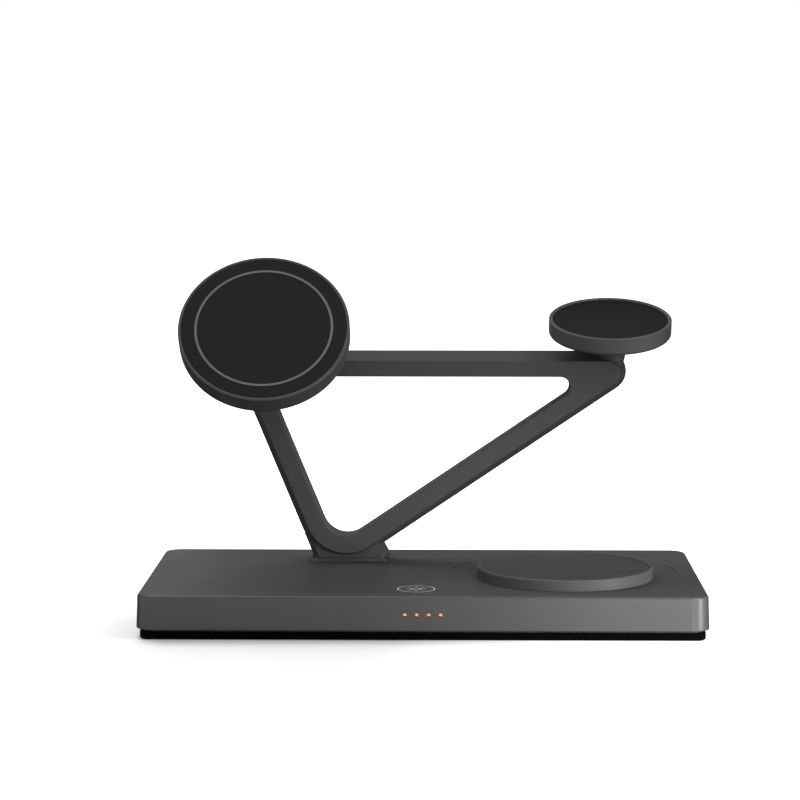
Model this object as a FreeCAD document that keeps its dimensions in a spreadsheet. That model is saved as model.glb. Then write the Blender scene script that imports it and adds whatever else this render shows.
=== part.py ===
import FreeCAD, Part
import math
import os
import Sketcher

# Five-in-one wireless charging stand: a weighted base with an earbud pad, a triangular frame on the base,
# a watch dish at the frame's right corner and a tilting phone pad at its left corner.
# Millimetres and degrees. X runs to the right, Y to the back and Z up. The origin is on the table, under the
# middle of the base.

DIMENSIONS = {
    # Base
    "base_width": 181.8,
    "base_depth": 95.3,
    "base_draft": 2.0,
    "base_corner": 6.0,
    "shell_height": 11.0,
    "shell_wall": 2.0,
    "shell_edge": 0.9,
    "shell_low_edge": 0.4,
    "cover_drop": 1.1,
    "cover_thick": 2.2,
    "cover_edge": 0.5,
    "fit_gap": 0.15,
    "foot_rise": 2.0,
    "strip_inset": 1.3,
    "strip_width": 7.0,
    "strip_corner": 2.8,
    "strip_recess": 0.4,
    "post_inset_x": 9.5,
    "post_inset_y": 17.5,
    "post_radius": 3.2,
    "screw_radius": 1.2,
    "screw_head_radius": 2.4,
    "screw_head_height": 1.1,
    "screw_length": 6.4,
    "thread_gap": 0.05,
    # Inside the base
    "ballast_width": 136.0,
    "ballast_depth": 44.0,
    "ballast_thick": 2.5,
    "ballast_y": -14.0,
    "peg_radius": 2.5,
    "peg_spread": 55.0,
    "board_width": 64.0,
    "board_depth": 30.0,
    "board_thick": 1.6,
    "board_corner": 1.0,
    "board_rear_gap": 1.0,
    "board_post_height": 2.0,
    "board_post_inset": 4.0,
    "chip_width": 9.0,
    "chip_height": 1.2,
    "choke_width": 11.0,
    "choke_height": 3.4,
    # Power inlet
    "inlet_width": 8.94,
    "inlet_height": 3.26,
    "inlet_corner": 1.5,
    "inlet_wall": 0.32,
    "inlet_length": 7.35,
    "inlet_mouth": 6.2,
    "inlet_setback": 0.3,
    "tongue_width": 6.7,
    "tongue_thick": 0.7,
    "tongue_length": 5.2,
    # Front lamps and touch spot
    "lamp_radius": 0.6,
    "lamp_pitch": 3.76,
    "lamp_x": 0.1,
    "lamp_drop": 5.9,
    "lamp_chip": 1.6,
    "lamp_chip_thick": 0.6,
    "lamp_board_width": 20.0,
    "lamp_board_height": 6.6,
    "lamp_board_thick": 1.0,
    "touch_x": -2.1,
    "touch_inset": 14.6,
    "touch_radius": 8.0,
    "touch_bore": 1.0,
    "touch_thick": 0.8,
    # Earbud pad
    "earbud_x": 46.5,
    "earbud_y": -8.4,
    "earbud_radius": 28.8,
    "earbud_height": 3.55,
    "earbud_wall": 1.2,
    "earbud_floor": 0.8,
    "earbud_ledge": 1.2,
    "earbud_edge": 0.35,
    "well_radius": 37.6,
    "well_depth": 0.12,
    "skin_thick": 0.8,
    "skin_drop": 0.15,
    "spigot_radius": 6.0,
    "spigot_bore": 4.0,
    "spigot_length": 3.2,
    "ferrite_thick": 0.6,
    "coil_thick": 1.1,
    "earbud_coil_outer": 21.0,
    "earbud_coil_inner": 8.0,
    # Frame
    "frame_front": 19.75,
    "frame_depth": 10.5,
    "frame_flare": 15.2,
    "frame_edge": 0.45,
    "bar_low": 63.2,
    "bar_width": 5.45,
    "strut_width": 6.0,
    "leg_x": -28.2,
    "leg_lean": 22.5,
    "brace_x": -37.05,
    "brace_rise": 34.0,
    "bend_inner": 8.45,
    "bend_outer": 14.05,
    "right_inner": 3.3,
    "right_outer": 4.2,
    "left_inner": 5.0,
    "left_outer": 8.0,
    "foot_right": -14.0,
    "foot_right_lean": 29.0,
    "foot_setback": 2.2,
    "foot_height": 5.6,
    "collar_left": -39.1,
    "collar_right": -12.6,
    "collar_front_margin": 1.4,
    "collar_back_margin": 4.0,
    "collar_height": 1.0,
    "collar_bevel": 0.9,
    "collar_corner": 1.2,
    "bolt_spread": 14.0,
    "bolt_radius": 2.0,
    "bolt_head_radius": 3.4,
    "bolt_head_height": 2.2,
    "bolt_reach": 5.5,
    "backing_thick": 1.5,
    "backing_margin": 1.0,
    # Watch dish
    "dish_inset": 12.76,
    "dish_y": 22.3,
    "dish_rise": 19.8,
    "dish_tilt": 16.0,
    "dish_radius": 20.7,
    "dish_height": 6.0,
    "dish_rim": 1.3,
    "dish_floor": 1.2,
    "dish_ledge": 1.6,
    "dish_round": 1.4,
    "face_drop": 0.7,
    "face_thick": 1.3,
    "face_dip": 0.6,
    "boss_length": 11.0,
    "boss_top_radius": 7.0,
    "boss_low_radius": 4.6,
    "dish_screw_radius": 1.5,
    "dish_screw_head": 3.0,
    "dish_screw_head_height": 1.2,
    "dish_screw_length": 7.0,
    "watch_coil_inner": 7.0,
    "watch_coil_outer": 15.0,
    "watch_magnet_radius": 5.0,
    # Phone pad and its hinge
    "phone_inset": 10.13,
    "hinge_y": 13.8,
    "hinge_rise": 9.3,
    "pad_lean": 38.0,
    "pad_radius": 28.5,
    "pad_thick": 8.5,
    "pad_wall": 1.0,
    "pad_ledge": 1.0,
    "pad_floor": 1.6,
    "pad_round": 2.6,
    "pad_rim_edge": 0.3,
    "hinge_gap": 5.5,
    "knuckle_radius": 4.4,
    "knuckle_width": 12.0,
    "ear_thick": 4.0,
    "ear_radius": 4.2,
    "washer_thick": 0.8,
    "washer_gap": 0.1,
    "pin_radius": 2.0,
    "pin_gap": 0.04,
    "pin_head_radius": 3.2,
    "pin_head_thick": 0.8,
    "pad_face_thick": 1.2,
    "magnet_count": 16.0,
    "magnet_inner": 22.4,
    "magnet_outer": 26.0,
    "magnet_thick": 2.2,
    "magnet_gap": 0.5,
    "phone_coil_inner": 10.0,
    "phone_coil_outer": 21.0,
    "phone_ferrite_radius": 21.6,
    "phone_board_radius": 17.0,
    "phone_board_thick": 1.0,
}

doc = FreeCAD.newDocument("charging_stand")
sheet = doc.addObject("Spreadsheet::Sheet", "Dims")
for row, (alias, size) in enumerate(DIMENSIONS.items(), 1):
    sheet.set(f"A{row}", alias)
    sheet.set(f"B{row}", str(size))
    sheet.setAlias(f"B{row}", alias)
doc.recompute()

# Levels that several pieces share, as expressions on the sheet
SHELL_LOW = "(Dims.foot_rise + Dims.cover_drop)"
BASE_TOP = f"({SHELL_LOW} + Dims.shell_height)"
ROOF_LOW = f"({BASE_TOP} - Dims.shell_wall)"
COVER_TOP = "(Dims.foot_rise + Dims.cover_thick)"
BOARD_LOW = f"({COVER_TOP} + Dims.board_post_height)"
BOARD_TOP = f"({BOARD_LOW} + Dims.board_thick)"
COLLAR_TOP = f"({BASE_TOP} + Dims.collar_height)"
REAR = "(Dims.base_depth / 2)"
FRONT_INSIDE = f"(-{REAR} + Dims.shell_wall)"
FRAME_BACK = "(Dims.frame_front + Dims.frame_depth)"
DRAFT = "tan(Dims.base_draft * 1 deg)"
LAMP_Z = f"({BASE_TOP} - Dims.lamp_drop)"
LAMP_FACE = f"({REAR} - ({LAMP_Z} - {SHELL_LOW}) * {DRAFT})"
INLET_Z = f"({BOARD_TOP} + Dims.inlet_height / 2)"
INLET_FACE = f"({REAR} - ({INLET_Z} - {SHELL_LOW}) * {DRAFT} - Dims.inlet_setback)"


def number(text):
    """The value of an expression on the sheet."""
    value = sheet.evalExpression(text)
    return float(getattr(value, "Value", value))


def new_body(label):
    """An empty body named for the piece that it will be."""
    body = doc.addObject("PartDesign::Body", label)
    body.Label = label
    body.AllowCompound = True
    return body


def place(piece, x="0", y="0", z="0", turn="0"):
    """Puts a piece at a point, turned about the X direction."""
    piece.Placement = FreeCAD.Placement(
        FreeCAD.Vector(number(x), number(y), number(z)),
        FreeCAD.Rotation(FreeCAD.Vector(1, 0, 0), number(turn)),
    )
    for axis, text in (("x", x), ("y", y), ("z", z)):
        piece.setExpression(f"Placement.Base.{axis}", text)
    if number(turn):
        piece.setExpression("Placement.Rotation.Angle", turn)


def sketch_on(body, plane, name, offset="0"):
    """A sketch on one of the body's own planes, moved along that plane's normal."""
    sketch = body.newObject("Sketcher::SketchObject", name)
    role = f"{plane}_Plane"
    support = next(feature for feature in body.Origin.OriginFeatures if feature.Role == role)
    sketch.AttachmentSupport = [(support, "")]
    sketch.MapMode = "FlatFace"
    sketch.setExpression("AttachmentOffset.Base.z", offset)
    return sketch


def pin_point(sketch, geometry, point, x, y):
    """Ties one point of a sketch to its two coordinates."""
    for kind, text in (("DistanceX", x), ("DistanceY", y)):
        constraint = Sketcher.Constraint(kind, -1, 1, geometry, point, number(text))
        index = sketch.addConstraint(constraint)
        sketch.setExpression(f"Constraints[{index}]", text)


def set_radius(sketch, geometry, text):
    index = sketch.addConstraint(Sketcher.Constraint("Radius", geometry, number(text)))
    sketch.setExpression(f"Constraints[{index}]", text)


def draw_polygon(sketch, corners):
    """A closed outline of straight lines through the corners."""
    points = [FreeCAD.Vector(number(x), number(y), 0) for x, y in corners]
    following = points[1:] + points[:1]
    lines = [sketch.addGeometry(Part.LineSegment(a, b)) for a, b in zip(points, following)]
    for line, after in zip(lines, lines[1:] + lines[:1]):
        sketch.addConstraint(Sketcher.Constraint("Coincident", line, 2, after, 1))
    for line, (x, y) in zip(lines, corners):
        pin_point(sketch, line, 1, x, y)


def draw_rounded(sketch, corners, radii):
    """A closed outline through the corners, listed anticlockwise, each rounded by a tangent arc."""
    points = [FreeCAD.Vector(number(x), number(y), 0) for x, y in corners]
    count = len(points)
    starts = []
    ends = []
    arcs = []
    for i, (here, text) in enumerate(zip(points, radii)):
        back = (points[i - 1] - here).normalize()
        ahead = (points[(i + 1) % count] - here).normalize()
        half = back.getAngle(ahead) / 2
        reach = number(text) / math.tan(half)
        middle = (back + ahead).normalize()
        centre = here + middle * (number(text) / math.sin(half))
        ends.append(here + back * reach)
        starts.append(here + ahead * reach)
        arcs.append(Part.Arc(ends[i], centre - middle * number(text), starts[i]))
    arc_ids = [sketch.addGeometry(arc) for arc in arcs]
    for i, (x, y) in enumerate(corners):
        j = (i + 1) % count
        line = sketch.addGeometry(Part.LineSegment(starts[i], ends[j]))
        sketch.addConstraint(Sketcher.Constraint("Tangent", arc_ids[i], 2, line, 1))
        sketch.addConstraint(Sketcher.Constraint("Tangent", line, 2, arc_ids[j], 1))
        for corner, (cx, cy) in ((points[i], (x, y)), (points[j], corners[j])):
            mark = sketch.addGeometry(Part.Point(corner), True)
            pin_point(sketch, mark, 1, cx, cy)
            sketch.addConstraint(Sketcher.Constraint("PointOnObject", mark, 1, line))
    for arc, text in zip(arc_ids, radii):
        set_radius(sketch, arc, text)


def draw_rectangle(sketch, left, right, low, high, radius):
    corners = [(left, low), (right, low), (right, high), (left, high)]
    draw_rounded(sketch, corners, [radius] * 4)


def draw_circles(sketch, centres, radius):
    for x, y in centres:
        circle = Part.Circle(FreeCAD.Vector(number(x), number(y), 0), FreeCAD.Vector(0, 0, 1), number(radius))
        geometry = sketch.addGeometry(circle)
        pin_point(sketch, geometry, 3, x, y)
        set_radius(sketch, geometry, radius)


def extrude(body, kind, sketch, length, reverse=False, middle=False):
    """A Pad or a Pocket of a sketch. A Pocket has to take something away."""
    before = body.Shape.Volume if kind == "Pocket" else 0
    feature = body.newObject(f"PartDesign::{kind}", f"{sketch.Name}_{kind.lower()}")
    feature.Profile = sketch
    feature.setExpression("Length", length)
    feature.Reversed = reverse
    feature.Midplane = middle
    doc.recompute()
    if kind == "Pocket" and body.Shape.Volume >= before:
        raise RuntimeError(f"{feature.Name} cut nothing")
    return feature


def revolve(body, sketch):
    feature = body.newObject("PartDesign::Revolution", f"{sketch.Name}_revolution")
    feature.Profile = sketch
    feature.ReferenceAxis = (sketch, ["V_Axis"])
    feature.Angle = 360
    doc.recompute()
    return feature


def soften(body, kind, name, size, chosen):
    """A Fillet or a Chamfer on the edges that a test picks."""
    base = body.Tip
    edges = [f"Edge{i}" for i, edge in enumerate(base.Shape.Edges, 1) if chosen(edge)]
    feature = body.newObject(f"PartDesign::{kind}", name)
    feature.Base = (base, edges)
    feature.setExpression("Radius" if kind == "Fillet" else "Size", size)
    doc.recompute()
    return feature


def level_edge(height):
    """Picks the edges that lie at one height of the piece's own frame."""
    level = number(height)
    return lambda edge: edge.BoundBox.ZLength < 1e-6 and abs(edge.BoundBox.ZMin - level) < 1e-6


def round_edge(radius, height):
    """Picks the circles of one radius at one height."""
    def chosen(edge):
        circle = hasattr(edge.Curve, "Radius") and abs(edge.Curve.Radius - number(radius)) < 1e-6
        return circle and level_edge(height)(edge)
    return chosen


def turned(label, profile, x, y, z, turn="0"):
    """A piece turned about its own upright axis from a half section."""
    body = new_body(label)
    sketch = sketch_on(body, "XZ", f"{label}_section")
    draw_polygon(sketch, profile)
    revolve(body, sketch)
    place(body, x, y, z, turn)
    return body


def disc(radius, low, high):
    """The half section of a plain disc."""
    return [("0", low), (radius, low), (radius, high), ("0", high)]


def flat_ring(label, inner, outer, low, thick, x, y, z, turn="0"):
    """A flat ring, such as a coil or a ferrite."""
    high = f"({low} + {thick})"
    return turned(label, [(inner, low), (outer, low), (outer, high), (inner, high)], x, y, z, turn)


def four_corners(x, y):
    return [(f"{sx} * ({x})", f"{sy} * ({y})") for sx in (-1, 1) for sy in (-1, 1)]


def base_outline(sketch, inset):
    """The base's rounded rectangle, drawn in by an even inset."""
    half_width = f"(Dims.base_width / 2 - {inset})"
    half_depth = f"(Dims.base_depth / 2 - {inset})"
    radius = f"(Dims.base_corner - {inset})"
    draw_rectangle(sketch, f"-{half_width}", half_width, f"-{half_depth}", half_depth, radius)


POSTS = four_corners("Dims.base_width / 2 - Dims.post_inset_x", "Dims.base_depth / 2 - Dims.post_inset_y")
PEGS = [(f"{side} * Dims.peg_spread", "Dims.ballast_y") for side in (-1, 1)]
LAMPS = [(f"Dims.lamp_x + {step} * Dims.lamp_pitch", LAMP_Z) for step in (-1.5, -0.5, 0.5, 1.5)]
FOOT_LEFT = "(Dims.leg_x - Dims.strut_width / cos(Dims.leg_lean * 1 deg))"
FOOT_X = f"(({FOOT_LEFT} + Dims.foot_right) / 2)"
FOOT_Y = f"((Dims.frame_front + Dims.foot_setback + {FRAME_BACK}) / 2)"
BOLTS = [(f"{FOOT_X} + {side} * Dims.bolt_spread / 2", FOOT_Y) for side in (-1, 1)]
BOARD_REAR = f"({REAR} - Dims.shell_wall - Dims.board_rear_gap)"
BOARD_FRONT = f"({BOARD_REAR} - Dims.board_depth)"


# Base shell: a moulded tray turned upside down, with posts for the cover screws
def make_base_shell():
    body = new_body("base_shell")
    outline = sketch_on(body, "XY", "shell_outline", SHELL_LOW)
    base_outline(outline, "0")
    block = extrude(body, "Pad", outline, "Dims.shell_height")
    block.setExpression("TaperAngle", "-Dims.base_draft")
    doc.recompute()
    soften(body, "Fillet", "shell_top_edge", "Dims.shell_edge", level_edge(BASE_TOP))
    soften(body, "Fillet", "shell_bottom_edge", "Dims.shell_low_edge", level_edge(SHELL_LOW))
    hollow = sketch_on(body, "XY", "shell_hollow", SHELL_LOW)
    base_outline(hollow, "Dims.shell_wall")
    extrude(body, "Pocket", hollow, "Dims.shell_height - Dims.shell_wall", reverse=True)
    posts = sketch_on(body, "XY", "shell_posts", COVER_TOP)
    draw_circles(posts, POSTS, "Dims.post_radius")
    extrude(body, "Pad", posts, f"{ROOF_LOW} - {COVER_TOP}")
    threads = sketch_on(body, "XY", "shell_post_bores", COVER_TOP)
    draw_circles(threads, POSTS, "Dims.screw_radius + Dims.thread_gap")
    extrude(body, "Pocket", threads, "Dims.screw_length", reverse=True)
    well = sketch_on(body, "XY", "earbud_well", BASE_TOP)
    draw_circles(well, [("Dims.earbud_x", "0")], "Dims.well_radius")
    extrude(body, "Pocket", well, "Dims.well_depth")
    spigot = sketch_on(body, "XY", "spigot_hole", BASE_TOP)
    draw_circles(spigot, [("Dims.earbud_x", "Dims.earbud_y")], "Dims.spigot_radius + Dims.fit_gap")
    extrude(body, "Pocket", spigot, "2 * Dims.shell_wall")
    bolts = sketch_on(body, "XY", "frame_bolt_holes", BASE_TOP)
    draw_circles(bolts, BOLTS, "Dims.bolt_radius + Dims.fit_gap")
    extrude(body, "Pocket", bolts, "2 * Dims.shell_wall")
    lamps = sketch_on(body, "XZ", "lamp_holes", REAR)
    draw_circles(lamps, LAMPS, "Dims.lamp_radius + Dims.thread_gap")
    extrude(body, "Pocket", lamps, "1.5 * Dims.shell_wall")
    inlet = sketch_on(body, "XZ", "inlet_slot", f"-{REAR}")
    inlet_outline(inlet, "Dims.fit_gap")
    extrude(body, "Pocket", inlet, "1.5 * Dims.shell_wall", reverse=True)
    return body


def inlet_outline(sketch, grow):
    """The power inlet's flat oval, standing on the board."""
    half = f"(Dims.inlet_width / 2 + {grow})"
    low = f"({BOARD_TOP} - {grow})"
    high = f"({BOARD_TOP} + Dims.inlet_height + {grow})"
    draw_rectangle(sketch, f"-{half}", half, low, high, f"(Dims.inlet_corner + {grow})")


# Bottom cover: a plate inside the shell's walls, with posts for the board and pegs for the ballast
def make_bottom_cover():
    body = new_body("bottom_cover")
    outline = sketch_on(body, "XY", "cover_outline", "Dims.foot_rise")
    base_outline(outline, "(Dims.shell_wall + Dims.fit_gap)")
    extrude(body, "Pad", outline, "Dims.cover_thick")
    soften(body, "Chamfer", "cover_low_edge", "Dims.cover_edge", level_edge("Dims.foot_rise"))
    recess = sketch_on(body, "XY", "strip_recesses", "Dims.foot_rise")
    draw_strips(recess, "Dims.fit_gap")
    extrude(body, "Pocket", recess, "Dims.strip_recess", reverse=True)
    heads = sketch_on(body, "XY", "screw_recesses", "Dims.foot_rise")
    draw_circles(heads, POSTS, "Dims.screw_head_radius + Dims.fit_gap")
    extrude(body, "Pocket", heads, "Dims.screw_head_height", reverse=True)
    holes = sketch_on(body, "XY", "screw_holes", "Dims.foot_rise")
    draw_circles(holes, POSTS, "Dims.screw_radius + Dims.fit_gap")
    extrude(body, "Pocket", holes, "2 * Dims.cover_thick", reverse=True)
    posts = sketch_on(body, "XY", "board_posts", COVER_TOP)
    draw_circles(posts, board_post_centres(), "Dims.board_post_inset / 2")
    extrude(body, "Pad", posts, "Dims.board_post_height")
    pegs = sketch_on(body, "XY", "ballast_pegs", COVER_TOP)
    draw_circles(pegs, PEGS, "Dims.peg_radius")
    extrude(body, "Pad", pegs, "Dims.ballast_thick")
    return body


def board_post_centres():
    x = "(Dims.board_width / 2 - Dims.board_post_inset)"
    rows = (f"{BOARD_FRONT} + Dims.board_post_inset", f"{BOARD_REAR} - Dims.board_post_inset")
    return [(f"{side} * {x}", y) for side in (-1, 1) for y in rows]


# Rubber feet: two long strips, glued into recesses along the front and the back of the cover
def draw_strips(sketch, grow):
    half = f"(Dims.base_width / 2 - Dims.strip_inset + {grow})"
    far = f"({REAR} - Dims.strip_inset + {grow})"
    near = f"({REAR} - Dims.strip_inset - Dims.strip_width - {grow})"
    radius = f"(Dims.strip_corner + {grow})"
    draw_rectangle(sketch, f"-{half}", half, f"-{far}", f"-{near}", radius)
    draw_rectangle(sketch, f"-{half}", half, near, far, radius)


def make_rubber_feet():
    body = new_body("rubber_feet")
    sketch = sketch_on(body, "XY", "foot_strips")
    draw_strips(sketch, "0")
    extrude(body, "Pad", sketch, "Dims.foot_rise + Dims.strip_recess")
    soften(body, "Chamfer", "foot_edge", "Dims.cover_edge", level_edge("0"))
    return body


def screw_group(label, centres, head_radius, head_low, head_height, radius, length):
    """Like screws that stand head down, one solid each."""
    body = new_body(label)
    heads = sketch_on(body, "XY", f"{label}_heads", head_low)
    draw_circles(heads, centres, head_radius)
    extrude(body, "Pad", heads, head_height)
    shanks = sketch_on(body, "XY", f"{label}_shanks", f"{head_low} + {head_height}")
    draw_circles(shanks, centres, radius)
    extrude(body, "Pad", shanks, length)
    return body


# Ballast: a steel plate on the cover, held by its two pegs
def make_ballast_plate():
    body = new_body("ballast_plate")
    sketch = sketch_on(body, "XY", "ballast_outline", COVER_TOP)
    half = "(Dims.ballast_width / 2)"
    low = "(Dims.ballast_y - Dims.ballast_depth / 2)"
    high = "(Dims.ballast_y + Dims.ballast_depth / 2)"
    draw_rectangle(sketch, f"-{half}", half, low, high, "Dims.base_corner / 2")
    extrude(body, "Pad", sketch, "Dims.ballast_thick")
    holes = sketch_on(body, "XY", "ballast_holes", COVER_TOP)
    draw_circles(holes, PEGS, "Dims.peg_radius + Dims.fit_gap")
    extrude(body, "Pocket", holes, "Dims.ballast_thick", reverse=True)
    return body


def draw_block(sketch, x, y, width):
    """A square block's outline about a point."""
    half = f"({width}) / 2"
    left, right = f"{x} - {half}", f"{x} + {half}"
    low, high = f"{y} - {half}", f"{y} + {half}"
    draw_polygon(sketch, [(left, low), (right, low), (right, high), (left, high)])


# Main board: the power circuit, with its driver chips and two chokes
def make_main_board():
    body = new_body("main_board")
    sketch = sketch_on(body, "XY", "board_outline", BOARD_LOW)
    half = "(Dims.board_width / 2)"
    draw_rectangle(sketch, f"-{half}", half, BOARD_FRONT, BOARD_REAR, "Dims.board_corner")
    extrude(body, "Pad", sketch, "Dims.board_thick")
    row = f"({BOARD_FRONT} + Dims.board_depth / 2)"
    chips = sketch_on(body, "XY", "board_chips", BOARD_TOP)
    draw_block(chips, "Dims.chip_width", row, "Dims.chip_width")
    extrude(body, "Pad", chips, "Dims.chip_height")
    chokes = sketch_on(body, "XY", "board_chokes", BOARD_TOP)
    draw_block(chokes, "Dims.board_width / 2 - Dims.choke_width", row, "Dims.choke_width")
    extrude(body, "Pad", chokes, "Dims.choke_height")
    return body


# Power inlet: a drawn metal mouth round a contact tongue
def make_usb_c_socket():
    body = new_body("usb_c_socket")
    outer = sketch_on(body, "XZ", "inlet_outer", f"-{INLET_FACE}")
    inlet_outline(outer, "0")
    extrude(body, "Pad", outer, "Dims.inlet_length")
    mouth = sketch_on(body, "XZ", "inlet_mouth", f"-{INLET_FACE}")
    inlet_outline(mouth, "(-Dims.inlet_wall)")
    extrude(body, "Pocket", mouth, "Dims.inlet_mouth", reverse=True)
    tongue = sketch_on(body, "XZ", "inlet_tongue", f"-{INLET_FACE} + Dims.inlet_mouth")
    half = "(Dims.tongue_width / 2)"
    low, high = f"{INLET_Z} - Dims.tongue_thick / 2", f"{INLET_Z} + Dims.tongue_thick / 2"
    draw_polygon(tongue, [(f"-{half}", low), (half, low), (half, high), (f"-{half}", high)])
    extrude(body, "Pad", tongue, "Dims.tongue_length", reverse=True)
    return body


# Indicator lamps: light pipes in the front wall, and the small upright board behind them
def make_indicator_lenses():
    body = new_body("indicator_lenses")
    sketch = sketch_on(body, "XZ", "lens_ends", LAMP_FACE)
    draw_circles(sketch, LAMPS, "Dims.lamp_radius")
    extrude(body, "Pad", sketch, f"{LAMP_FACE} + {FRONT_INSIDE}", reverse=True)
    return body


def make_indicator_board():
    body = new_body("indicator_board")
    face = f"({FRONT_INSIDE} + Dims.lamp_chip_thick)"
    board = sketch_on(body, "XZ", "lamp_board", f"-{face}")
    left, right = "Dims.lamp_x - Dims.lamp_board_width / 2", "Dims.lamp_x + Dims.lamp_board_width / 2"
    high = f"{COVER_TOP} + Dims.lamp_board_height"
    draw_polygon(board, [(left, COVER_TOP), (right, COVER_TOP), (right, high), (left, high)])
    extrude(body, "Pad", board, "Dims.lamp_board_thick", reverse=True)
    chips = sketch_on(body, "XZ", "lamp_chips", f"-{face}")
    for x, z in LAMPS:
        draw_block(chips, x, z, "Dims.lamp_chip")
    extrude(body, "Pad", chips, "Dims.lamp_chip_thick")
    return body


# Earbud pad: a turned metal cup in the shallow well, closed by a dark skin over a coil
EARBUD_LOW = f"({BASE_TOP} - Dims.well_depth)"
CUP_HEIGHT = "(Dims.earbud_height + Dims.well_depth)"
SKIN_LOW = f"({CUP_HEIGHT} - Dims.skin_drop - Dims.skin_thick)"
EARBUD_PLACE = ("Dims.earbud_x", "Dims.earbud_y", EARBUD_LOW)


def make_earbud_pad():
    radius = "Dims.earbud_radius"
    bore = f"({radius} - Dims.earbud_wall)"
    ledge = f"({bore} - Dims.earbud_ledge)"
    profile = [
        ("Dims.spigot_bore", "-Dims.spigot_length"),
        ("Dims.spigot_radius", "-Dims.spigot_length"),
        ("Dims.spigot_radius", "0"),
        (radius, "0"),
        (radius, CUP_HEIGHT),
        (bore, CUP_HEIGHT),
        (bore, SKIN_LOW),
        (ledge, SKIN_LOW),
        (ledge, "Dims.earbud_floor"),
        ("Dims.spigot_bore", "Dims.earbud_floor"),
    ]
    cup = turned("earbud_pad_cup", profile, *EARBUD_PLACE)
    soften(cup, "Chamfer", "cup_top_edge", "Dims.earbud_edge", round_edge(radius, CUP_HEIGHT))
    skin_radius = f"({bore} - Dims.fit_gap)"
    skin_top = f"({SKIN_LOW} + Dims.skin_thick)"
    ferrite_outer = "(Dims.earbud_coil_outer + Dims.earbud_ledge)"
    coil_low = "(Dims.earbud_floor + Dims.ferrite_thick)"
    return [
        cup,
        turned("earbud_pad_skin", disc(skin_radius, SKIN_LOW, skin_top), *EARBUD_PLACE),
        flat_ring("earbud_ferrite", "Dims.spigot_radius", ferrite_outer, "Dims.earbud_floor",
                  "Dims.ferrite_thick", *EARBUD_PLACE),
        flat_ring("earbud_coil", "Dims.earbud_coil_inner", "Dims.earbud_coil_outer", coil_low,
                  "Dims.coil_thick", *EARBUD_PLACE),
    ]


# Frame outline: the corners of the triangle that lies an even width outside the opening.
# The leg, the brace and the bar are three lines above the base top.
def triangle(strut, bar):
    lean = "tan(Dims.leg_lean * 1 deg)"
    rise = "tan(Dims.brace_rise * 1 deg)"
    leg_x = f"(Dims.leg_x - {strut} / cos(Dims.leg_lean * 1 deg))"
    brace_x = f"(Dims.brace_x + {strut} / sin(Dims.brace_rise * 1 deg))"
    bar_z = f"(Dims.bar_low + {bar})"
    bend_z = f"(({leg_x} - {brace_x}) * {rise} / (1 + {lean} * {rise}))"
    return [
        (f"{leg_x} - {bend_z} * {lean}", f"{BASE_TOP} + {bend_z}"),
        (f"{brace_x} + {bar_z} / {rise}", f"{BASE_TOP} + {bar_z}"),
        (f"{leg_x} - {bar_z} * {lean}", f"{BASE_TOP} + {bar_z}"),
    ]


# Frame: one casting. Its ring has straight inner walls and outer walls that flare towards the back.
def make_frame_ring():
    body = new_body("frame_ring")
    outline = sketch_on(body, "XZ", "ring_outline", "-Dims.frame_front")
    draw_rounded(outline, triangle("Dims.strut_width", "Dims.bar_width"),
                 ["Dims.bend_outer", "Dims.right_outer", "Dims.left_outer"])
    ring = extrude(body, "Pad", outline, "Dims.frame_depth", reverse=True)
    ring.setExpression("TaperAngle", "Dims.frame_flare")
    doc.recompute()
    opening = sketch_on(body, "XZ", "ring_opening", "-Dims.frame_front")
    draw_rounded(opening, triangle("0", "0"), ["Dims.bend_inner", "Dims.right_inner", "Dims.left_inner"])
    extrude(body, "Pocket", opening, "2 * Dims.frame_depth")
    faces = (number("Dims.frame_front"), number(FRAME_BACK))

    def on_face(edge):
        return edge.BoundBox.YLength < 1e-6 and min(abs(edge.BoundBox.YMin - y) for y in faces) < 1e-6

    soften(body, "Fillet", "ring_edges", "Dims.frame_edge", on_face)
    return body


def make_frame_foot():
    """The block under the bend: its sides flare as the ring does, and its front is set back."""
    body = new_body("frame_foot")
    outline = sketch_on(body, "XZ", "foot_outline", "-Dims.frame_front")
    left_lean = "Dims.foot_height * tan(Dims.leg_lean * 1 deg)"
    right_lean = "Dims.foot_height * tan(Dims.foot_right_lean * 1 deg)"
    high = f"{BASE_TOP} + Dims.foot_height"
    corners = [
        (FOOT_LEFT, BASE_TOP),
        ("Dims.foot_right", BASE_TOP),
        (f"Dims.foot_right - {right_lean}", high),
        (f"{FOOT_LEFT} - {left_lean}", high),
    ]
    draw_polygon(outline, corners)
    block = extrude(body, "Pad", outline, "Dims.frame_depth", reverse=True)
    block.setExpression("TaperAngle", "Dims.frame_flare")
    doc.recompute()
    front = sketch_on(body, "XZ", "foot_front", "-Dims.frame_front")
    margin = "2 * Dims.frame_depth"
    left, right = f"{FOOT_LEFT} - {margin}", f"Dims.foot_right + {margin}"
    low, top = f"{BASE_TOP} - {margin}", f"{high} + {margin}"
    draw_polygon(front, [(left, low), (right, low), (right, top), (left, top)])
    extrude(body, "Pocket", front, "Dims.foot_setback")
    return body


FRAME_CORNERS = triangle("Dims.strut_width", "Dims.bar_width")
DISH_X = f"({FRAME_CORNERS[1][0]} - Dims.dish_inset)"
DISH_Z = f"({BASE_TOP} + Dims.bar_low + Dims.dish_rise)"
DISH_PLACE = (DISH_X, "Dims.dish_y", DISH_Z, "Dims.dish_tilt")
PHONE_X = f"({FRAME_CORNERS[2][0]} + Dims.phone_inset)"
HINGE_Z = f"({BASE_TOP} + Dims.bar_low + Dims.hinge_rise)"


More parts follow.
